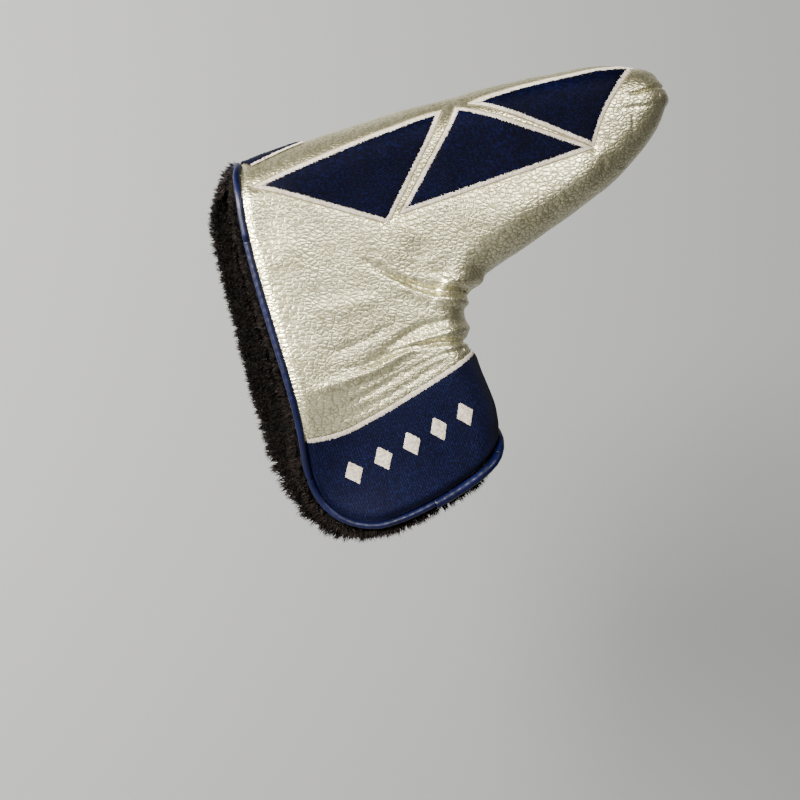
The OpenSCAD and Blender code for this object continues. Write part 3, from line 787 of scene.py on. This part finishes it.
def build_triangle(side_name, kind):
    side = SIDES[side_name]
    corners, bows = TRIANGLES[kind]
    edge = outline(corners, bows)
    inner = shrunk(edge, corners, 1.25)
    starts, ends = fill_rows(inner, math.radians(14), 0.4, 3.4)
    points, faces = threads(starts, ends, side, 0.46, 0.16, 0.34)
    ground = shrunk(edge, corners, 1.0)
    k = np.linspace(0, 1, 41)
    apex, far = ground[0], Run(ground[40:81]).at(np.linspace(0, 1, 31))
    ground_net = mix(apex[None, None], far[None], k[:, None, None])
    ground_points = placed(ground_net, side, 0.28)[0].reshape(-1, 3)
    ground_faces = net_faces(41, 31, side == FRONT)
    count = len(ground_faces)
    points, faces = gathered([(ground_points, ground_faces), (points, faces)])
    slots = np.ones(len(faces), int)
    slots[:count] = 0
    fill = make(f"{side_name}_{kind}_fill", points, faces, [PATCH, NAVY], slots)
    parts, groove_shades = [], []
    for k, (run, inward) in enumerate(triangle_sides(corners, bows)):
        starts, ends = satin(run, inward, slopes=mitres(corners, k))
        parts.append(threads(starts, ends, side, 0.5, 0.34, 0.2, 5))
        # A dark strip up to 0.6 mm outside the border: painted shade in the groove there
        f = np.linspace(0, 1, int(run.length))
        strip = run.at(f)[:, None] - inward * np.array((0.0, 0.3, 0.6))[None, :, None]
        strip_points = placed(strip, side, np.array((0.02, 0.06, 0.02))[None])[0]
        groove_shades.append((strip_points.reshape(-1, 3), net_faces(len(f), 3)))
    points, faces = gathered(parts)
    groove_shade_points, groove_shade_faces = gathered(groove_shades)
    slots = np.zeros(len(faces) + len(groove_shade_faces), int)
    slots[len(faces):] = 1
    points, faces = gathered([(points, faces), (groove_shade_points, groove_shade_faces)])
    border = make(f"{side_name}_{kind}_satin", points, faces, [CREAM, GROOVE_SHADE], slots)
    return fill, border


def build_band_line(side_name):
    side = SIDES[side_name]
    run = Run(band_line.at(np.linspace(0.004, 0.985, 80)))
    up = np.array((-0.46, 0.89))
    starts, ends = satin(run, up, 1.8, 0.36, 0.1, 0.1)
    middle = -0.5 * up * 1.8
    points, faces = threads(starts + middle, ends + middle, side, 0.5, 0.4, 0.3, 5)
    return make(f"{side_name}_band_satin", points, faces, CREAM)


def build_lozenges():
    first, last = np.array((-20.0, 20.0)), np.array((22.0, 42.5))
    way = unit(last - first)
    up = left_of(way)
    parts = []
    for k in range(5):
        middle = mix(first, last, k / 4)
        v = np.arange(-4.8, 4.81, 0.36)
        half = (3.5 * (1 - np.abs(v) / 5) + 0.15 + rng.normal(0, 0.06, len(v)))[:, None]
        centre = middle + v[:, None] * up
        parts.append(threads(centre - half * way, centre + half * way, FRONT, 0.46, 0.35, 0.35, 6))
    points, faces = gathered(parts)
    return make("front_lozenge_satin", points, faces, CREAM)


def whole(side_name):
    """Everything on one side that lies across the flap's fold line, above and below it."""
    side = SIDES[side_name]
    points, outward = placed(leather_net, side)
    sheet = lipped(side_name + "_leather", points, outward, side, LEATHER, slice(None), FOLD_RIBS + 1)
    band = build_band(side_name + "_neck_band", side_name)
    line = build_band_line(side_name)
    return [over_flap(piece) for piece in (sheet, band, line)]


front_leather, front_neck_band, front_line = whole("front")
rear_leather, rear_neck_band, rear_line = whole("rear")
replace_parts(front_leather, "outer_leather", "front_flap_leather")
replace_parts(rear_leather, "rear_flap_leather")
for side_name, piece in (("front", front_neck_band), ("rear", rear_neck_band)):
    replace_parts(piece, side_name + "_band", side_name + "_band_corner")
for side_name, piece in (("front", front_line), ("rear", rear_line)):
    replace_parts(piece, side_name + "_band_border", side_name + "_corner_border")
for side_name in SIDES:
    for kind in TRIANGLES:
        fill, border = build_triangle(side_name, kind)
        for piece, node in ((fill, "triangle"), (border, "border")):
            over_flap(piece)
            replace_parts(piece, f"{side_name}_{kind}_{node}")
lozenges = over_flap(build_lozenges())
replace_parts(lozenges, "front_lozenges")


# ---- patch over the top fold at the heel ----
def over_fold(f, w):
    """In-plane points beside the fold, for runs f and reaches w."""
    return fold.at(f) + np.abs(w)[..., None] * fold.left(f)


PATCH_FROM, PATCH_TO = 0.985, 0.86
PATCH_DEPTH = {FRONT: 2.4, REAR: 7.0}


def patch_reach(f, deep):
    return deep * (0.15 + 0.85 * (f - PATCH_TO) / (PATCH_FROM - PATCH_TO))


def build_heel_patch():
    f = np.linspace(PATCH_FROM, PATCH_TO, 50)
    t = np.linspace(-1, 1, 31)
    w = np.sign(t) * t**2
    rows = []
    for column, share in zip(w, t):
        side = FRONT if share < 0 else REAR
        p = over_fold(f, patch_reach(f, PATCH_DEPTH[side]) * column)
        rows.append(placed(p, side, 0.45)[0])
    points = np.stack(rows, 1)
    points[:, 15, 1] = 0
    ground = (points.reshape(-1, 3), net_faces(50, 31))
    parts, pile = [ground], []
    for side, deep in PATCH_DEPTH.items():
        n = 1500 if side == FRONT else 3000
        g = rng.uniform(PATCH_TO, PATCH_FROM, n)
        a = over_fold(g, patch_reach(g, deep) * rng.uniform(0, 1, n) ** 1.6)
        way = fold.heading(g) * rng.uniform(0.7, 1.6, (n, 1)) + rng.normal(0, 0.25, (n, 2))
        pile.append(threads(a, a + way, side, 0.2, 0.35, 0.42, 3))
    points, faces = gathered(parts + pile)
    slots = np.ones(len(faces), int)
    slots[: 49 * 30] = 0
    navy = make("heel_patch_fill", points, faces, [PATCH, NAVY], slots)
    edges = []
    for side, deep in PATCH_DEPTH.items():
        n = int((PATCH_FROM - PATCH_TO) * fold.length / 0.36)
        g = np.linspace(PATCH_TO, PATCH_FROM, n)
        reach = patch_reach(g, deep)
        width = 1.5 if side == REAR else 1.1
        a = over_fold(g, reach - 0.35 * width + rng.normal(0, 0.15, n))
        b = over_fold(g, reach + 0.65 * width)
        edges.append(threads(a, b, side, 0.46, 0.3, 0.35, 4))
    points, faces = gathered(edges)
    return navy, make("heel_patch_satin", points, faces, CREAM)


heel_navy, heel_cream = build_heel_patch()
for piece, node in ((heel_navy, "heel_patch"), (heel_cream, "heel_patch_border")):
    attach(piece, "pouch")
    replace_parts(piece, node)


# ---- piping round the rim ----
NOTCH = near(np.array([[-33.0, 19.0]]), rim.points)[1][0]


def rim_outward(f):
    w = rim.left(f)
    return np.stack([-w[..., 0], np.zeros(len(f)), -w[..., 1]], -1)


def piping_centre(f, side, radius):
    point, normal = skin(rim.at(f), FRONT)
    point = point - 0.6 * normal
    point[:, 1] = np.minimum(point[:, 1], 0) * -side
    out = rim_outward(f)
    hug = np.minimum(mix(0.2, 1, smooth(f / 0.03)), mix(0.1, 1, smooth((1 - f) / 0.06)))[:, None]
    return point + (radius * hug + 0.15) * out, out


def build_piping(name, stops, side, radius, cord=False):
    centres, out = piping_centre(stops, side, radius)
    wavy = 1 + 0.02 * np.sin(stops * 410) + 0.015 * np.sin(stops * 1130 + 1)
    if side == FRONT:
        wavy -= 0.35 * np.exp(-(((stops - NOTCH) / 0.002) ** 2))
    if cord:
        return tube(name, centres, out, CORD_RADIUS, CORD, 6)
    return tube(name, centres, out, radius * wavy, PIPING)


def arch(name, f, radius, cord=False):
    """Piping that passes from front to rear over one end of the rim."""
    front_half, front_out = piping_centre(f, FRONT, radius)
    rear_half, rear_out = piping_centre(f[::-1], REAR, radius)
    centres = np.concatenate([front_half, rear_half[1:]])
    out = np.concatenate([front_out, rear_out[1:]])
    if cord:
        return tube(name, centres, out, CORD_RADIUS, CORD, 6)
    return tube(name, centres, out, radius, PIPING)


for cord, suffix, node_end in ((False, "", ""), (True, "_filler", "_cord")):
    heel = arch("heel_rim" + suffix, HINGE_RUN * (1 - np.linspace(0, 1, 60) ** 0.6), PIPING_RADIUS, cord)
    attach(heel, "pouch")
    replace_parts(heel, "heel_piping" + node_end)
    for side_name, side in SIDES.items():
        last = WIDE_FROM if side == FRONT else CORNER_FROM
        stops = np.linspace(HINGE_RUN, last, 240)
        rim_piece = build_piping(side_name + "_rim" + suffix, stops, side, PIPING_RADIUS, cord)
        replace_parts(over_flap(rim_piece), side_name + "_piping" + node_end)
        corner = np.linspace(CORNER_FROM, 1, 40)
        corner_piece = build_piping(side_name + "_corner_rim" + suffix, corner, side, WIDE_RADIUS, cord)
        over_flap(corner_piece)
        if side == FRONT:
            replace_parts(corner_piece, "corner_piping" + node_end)
            stops = np.linspace(WIDE_FROM, CORNER_FROM, 60)
            wide_piece = build_piping("front_wide_rim" + suffix, stops, side, WIDE_RADIUS, cord)
            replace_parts(over_flap(wide_piece), "front_wide_piping" + node_end)


# ---- foam between leather and lining ----
def build_foam(side_name):
    side = SIDES[side_name]
    net = half_net(60, 60, 36, 1.0, 1.0)
    layers = [placed(net, side, height, 0.5)[0] for height in FOAM_HEIGHTS]
    n, m = net.shape[:2]
    faces = [net_faces(n, m, side == FRONT), net_faces(n, m, side != FRONT, n * m)]
    i = np.arange(n - 1)
    walls = []
    for j, turned in ((0, side == FRONT), (m - 1, side != FRONT)):
        a, b = i * m + j, (i + 1) * m + j
        wall = np.stack([a, b, b + n * m, a + n * m], -1)
        walls.append(wall[:, ::-1] if not turned else wall)
    points = np.concatenate([layer.reshape(-1, 3) for layer in layers])
    return make(side_name + "_padding", points, np.concatenate(faces + walls), FOAM)


front_padding, rear_padding = build_foam("front"), build_foam("rear")
for side_name, piece in (("front", front_padding), ("rear", rear_padding)):
    over_flap(piece)
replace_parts(front_padding, "foam_interlining", "front_flap_foam")
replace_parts(rear_padding, "rear_flap_foam")


# ---- plush lining ----
OVERHANG = {"front": (3.4, 2.8, 2.2, 2.0, 2.2, 2.8, 3.0, 3.8, 4.6),
            "rear": (6.0, 6.0, 6.5, 8.5, 8.5, 7.0, 5.0, 4.8, 5.4)}


# The lining ends this far along, inside the toe's tip
LINING_TOE = 107.5


def roll_strip(overhang, count=420):
    """The plush that folds over the rim: in-plane points and heights, from its outer to its inner face."""
    f = 1 - (1 - np.linspace(0, 1, count)) ** 1.15
    out = -rim.left(f)
    over = np.interp(f, (0, 0.1, 0.25, 0.4, 0.5, 0.58, 0.66, 0.8, 1), overhang)[:, None]
    turn = np.linspace(0, np.pi, 11)[None]
    across = np.sin(turn) * over - 0.4
    height = ROLL_HEIGHT - (1 - np.cos(turn)) * ROLL_RADIUS
    p = rim.at(f)[:, None] + out[:, None] * across[..., None]
    return f, p, height


def build_lining(side_name):
    side = SIDES[side_name]
    net = half_net(110, 150, 60, 1.0, 1.0)
    inner, outward = placed(net, side, LINING_HEIGHT)
    inner[..., 0] = np.minimum(inner[..., 0], LINING_TOE)
    closure = np.exp(-((net - CLOSURE) ** 2).sum(-1) / (2 * 16**2))
    inner[..., 1] = side * np.maximum(side * inner[..., 1], 2.1 * smooth(closure * 2.4))
    f, p, height = roll_strip(OVERHANG[side_name])
    roll, _ = placed(p, side, height)
    parts = [(inner.reshape(-1, 3), net_faces(*net.shape[:2], side != FRONT)),
             (roll.reshape(-1, 3), net_faces(*p.shape[:2], side != FRONT))]
    points, faces = gathered(parts)
    ground = make(side_name + "_lining", points, faces, PLUSH_GROUND)
    return ground, inner, -outward, net, f, roll


def tufts(name, roots, directions, lengths, widths, painted_lightness):
    """Tapered fibres, each a narrow strip of three parts that bends away from its direction at the root."""
    n = len(roots)
    bend = unit(directions + rng.normal(0, 0.3, (n, 3)))
    across = unit(np.cross(directions, rng.normal(0, 1, (n, 3))))
    k = np.array((0.0, 0.4, 0.75, 1.0))
    path = roots[:, None] + lengths[:, None, None] * (
        k[None, :, None] * directions[:, None] + (k**2)[None, :, None] * 0.45 * (bend - directions)[:, None])
    taper = np.array((1.0, 0.8, 0.45, 0.06))[None, :, None] * widths[:, None, None] / 2
    left, right = path - across[:, None] * taper, path + across[:, None] * taper
    points = np.stack([left, right], 2).reshape(-1, 3)
    one = net_faces(4, 2)
    faces = (one[None] + (np.arange(n) * 8)[:, None, None]).reshape(-1, 4)
    # Each fibre gets a random tone; its root part is one tone darker as painted shade among the fibres, and
    # its tip is often one tone brighter as a painted highlight
    pick = rng.random(n) + painted_lightness / 2
    tone = (pick > 0.5).astype(int) + (pick > 0.86)
    lit_tip_tone = np.minimum(tone + (rng.random(n) < 0.3), 2)
    slots = np.stack([np.maximum(tone - 1, 0), tone, lit_tip_tone], -1).reshape(-1)
    piece = make(name, points, faces, PLUSH, slots)
    over_flap(piece)
    return piece


def build_roll_fur(side_name, f, roll, clumps=4900, each=6):
    side = SIDES[side_name]
    rows, columns = roll.shape[:2]
    face = net_normals(roll, np.broadcast_to(rim_outward(f)[:, None], roll.shape))
    along = unit(np.gradient(roll, axis=0))
    i = rng.uniform(0, rows - 1.001, clumps)
    j = rng.uniform(0, columns - 1.001, clumps)
    ii = np.repeat(i, each) + rng.normal(0, 1.1, clumps * each)
    jj = np.repeat(j, each) + rng.normal(0, 0.5, clumps * each)
    ii, jj = np.clip(ii, 0, rows - 1.001), np.clip(jj, 0, columns - 1.001)

    def read(values, a, b):
        x, y = a.astype(int), b.astype(int)
        s, t = (a - x)[:, None], (b - y)[:, None]
        return mix(mix(values[x, y], values[x + 1, y], s), mix(values[x, y + 1], values[x + 1, y + 1], s), t)

    lean = (read(face, i, j) + 0.35 * read(along, i, j) * rng.normal(-0.5, 0.7, (clumps, 1))
            + rng.normal(0, 0.22, (clumps, 3)))
    inside = smooth((j / (columns - 1) - 0.55) / 0.15)
    length = mix(2.7, 3.9, smooth((f[i.astype(int)] - 0.42) / 0.12))
    length = length * rng.uniform(0.7, 1.3, clumps) * (1 - 0.45 * inside)
    # Painted shade: fibres where the roll turns in towards the opening are made darker
    painted_lightness = np.repeat(0.2 - 0.8 * inside, each)
    tips = read(roll, i, j) + unit(lean) * length[:, None]
    roots = read(roll, ii, jj) - 0.3 * read(face, ii, jj)
    reach = np.repeat(tips, each, 0) + rng.normal(0, 0.35, (clumps * each, 3)) - roots
    lengths = np.linalg.norm(reach, axis=1)
    reach = unit(reach)
    if side == REAR:
        # The plush closes in an arch under the piping over the heel
        top, top_out = piping_centre(0.12 * rng.random(1500) ** 1.4, REAR, PIPING_RADIUS)
        roots = np.concatenate([roots, top - 1.6 * top_out + rng.normal(0, 0.9, top.shape)])
        reach = np.concatenate([reach, unit(top_out + rng.normal(0, 0.25, top.shape) + (-0.2, 0.3, 0.1))])
        lengths = np.concatenate([lengths, rng.uniform(2.8, 4.6, len(top))])
        painted_lightness = np.concatenate([painted_lightness, np.full(len(top), 0.2)])
    widths = rng.uniform(0.32, 0.55, len(roots))
    return tufts(side_name + "_rim_plush", roots, reach, lengths, widths, painted_lightness)


def build_inner_fur(side_name, inner, inward, net, count=26000):
    """Pile on the inner face, thickest near the opening."""
    gap = from_rim(net)
    weight = np.where(gap < 45, np.exp(-gap / 20) + 0.03, 0.02)[:-1, :-1]
    corner = inner[:-1, :-1]
    a = np.linalg.norm(np.cross(inner[1:, :-1] - corner, inner[:-1, 1:] - corner), axis=-1)
    chance = (a * weight).reshape(-1)
    pick = rng.choice(len(chance), count, p=chance / chance.sum())
    i, j = pick // a.shape[1], pick % a.shape[1]
    s, t = rng.random((count, 1)), rng.random((count, 1))
    roots = mix(mix(inner[i, j], inner[i + 1, j], s), mix(inner[i, j + 1], inner[i + 1, j + 1], s), t)
    comb = np.array((-0.75, 0.0, -0.35))
    way = unit(inward[i, j] + comb + rng.normal(0, 0.3, (count, 3)))
    lengths, widths = rng.uniform(2.2, 3.8, count), rng.uniform(0.35, 0.6, count)
    return tufts(side_name + "_inner_plush", roots, way, lengths, widths, 0.2)


for side_name in SIDES:
    ground, inner, inward, net, f, roll = build_lining(side_name)
    over_flap(ground)
    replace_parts(ground, side_name + "_flap_plush", *(["plush_lining"] if side_name == "front" else []))
    build_roll_fur(side_name, f, roll)
    build_inner_fur(side_name, inner, inward, net)

for node, finish_material in (("loop_strip", LOOP), ("hook_strip", HOOK)):
    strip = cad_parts[node]
    strip.data.materials.clear()
    strip.data.materials.append(finish_material)


# ---- stage, light and camera ----
def backdrop():
    """A plain pale wall that curves into the floor, which lies below the view."""
    profile = [(-1.6, -0.8), (0.3, -0.8), (0.62, -0.74), (0.75, -0.6), (0.78, -0.4), (0.78, 1.6)]
    profile = through(profile, 8)
    x, (y, z) = np.linspace(-2.2, 2.2, 9)[:, None], profile.T
    points = np.stack(np.broadcast_arrays(x, y, z), -1) * 1000
    wall = material("backdrop", (0.205, 0.211, 0.224), 0.9)
    return make("backdrop", points, net_faces(9, len(profile)), wall)


def lamp(name, place_at, aim, size, power, color):
    data = bpy.data.lights.new(name, "AREA")
    data.shape = "RECTANGLE"
    data.size, data.size_y = size
    data.energy = power
    data.color = color
    obj = bpy.data.objects.new(name, data)
    bpy.context.scene.collection.objects.link(obj)
    obj.location = place_at
    direction = np.array(aim, float) - np.array(place_at, float)
    yaw = math.atan2(direction[1], direction[0]) - math.pi / 2
    pitch = math.atan2(direction[2], math.hypot(direction[0], direction[1]))
    obj.rotation_euler = (math.pi / 2 + pitch, 0, yaw)


backdrop()
lamp("window", (-0.85, -1.15, 0.5), (0, 0, 0.09), (0.45, 0.45), 118, (1.0, 0.972, 0.885))
lamp("side", (-1.3, -0.15, 0.35), (0, 0, 0.09), (0.6, 0.6), 90, (1.0, 0.96, 0.86))
lamp("room", (0.35, -1.5, 0.1), (0, 0, 0.09), (1.4, 1.0), 1.5, (0.82, 0.92, 1.0))
lamp("ceiling", (0.55, -1.0, 0.75), (0.05, 0, 0.12), (0.35, 0.35), 13, (1.0, 0.97, 0.92))
lamp("wall_light", (-0.9, 0.1, 0.5), (-0.25, 0.78, 0.2), (0.5, 0.8), 2.5, (1.0, 0.93, 0.82))
world = bpy.data.worlds.new("room")
world.use_nodes = True
world.node_tree.nodes["Background"].inputs["Color"].default_value = (0.62, 0.66, 0.72, 1)
world.node_tree.nodes["Background"].inputs["Strength"].default_value = 0.03
bpy.context.scene.world = world

azimuth = math.radians(-16)
camera_data = bpy.data.cameras.new("camera")
camera_data.lens = 67.5
camera_data.sensor_width = 36
camera_data.clip_start = 0.01
camera = bpy.data.objects.new("camera", camera_data)
bpy.context.scene.collection.objects.link(camera)
aim = 0.0018 * np.array((math.cos(azimuth), math.sin(azimuth), 0)) + (0, 0, 0.048)
camera.location = aim + 0.6 * np.array((math.sin(azimuth), -math.cos(azimuth), 0))
camera.rotation_euler = (math.pi / 2, 0, azimuth)
bpy.context.scene.camera = camera
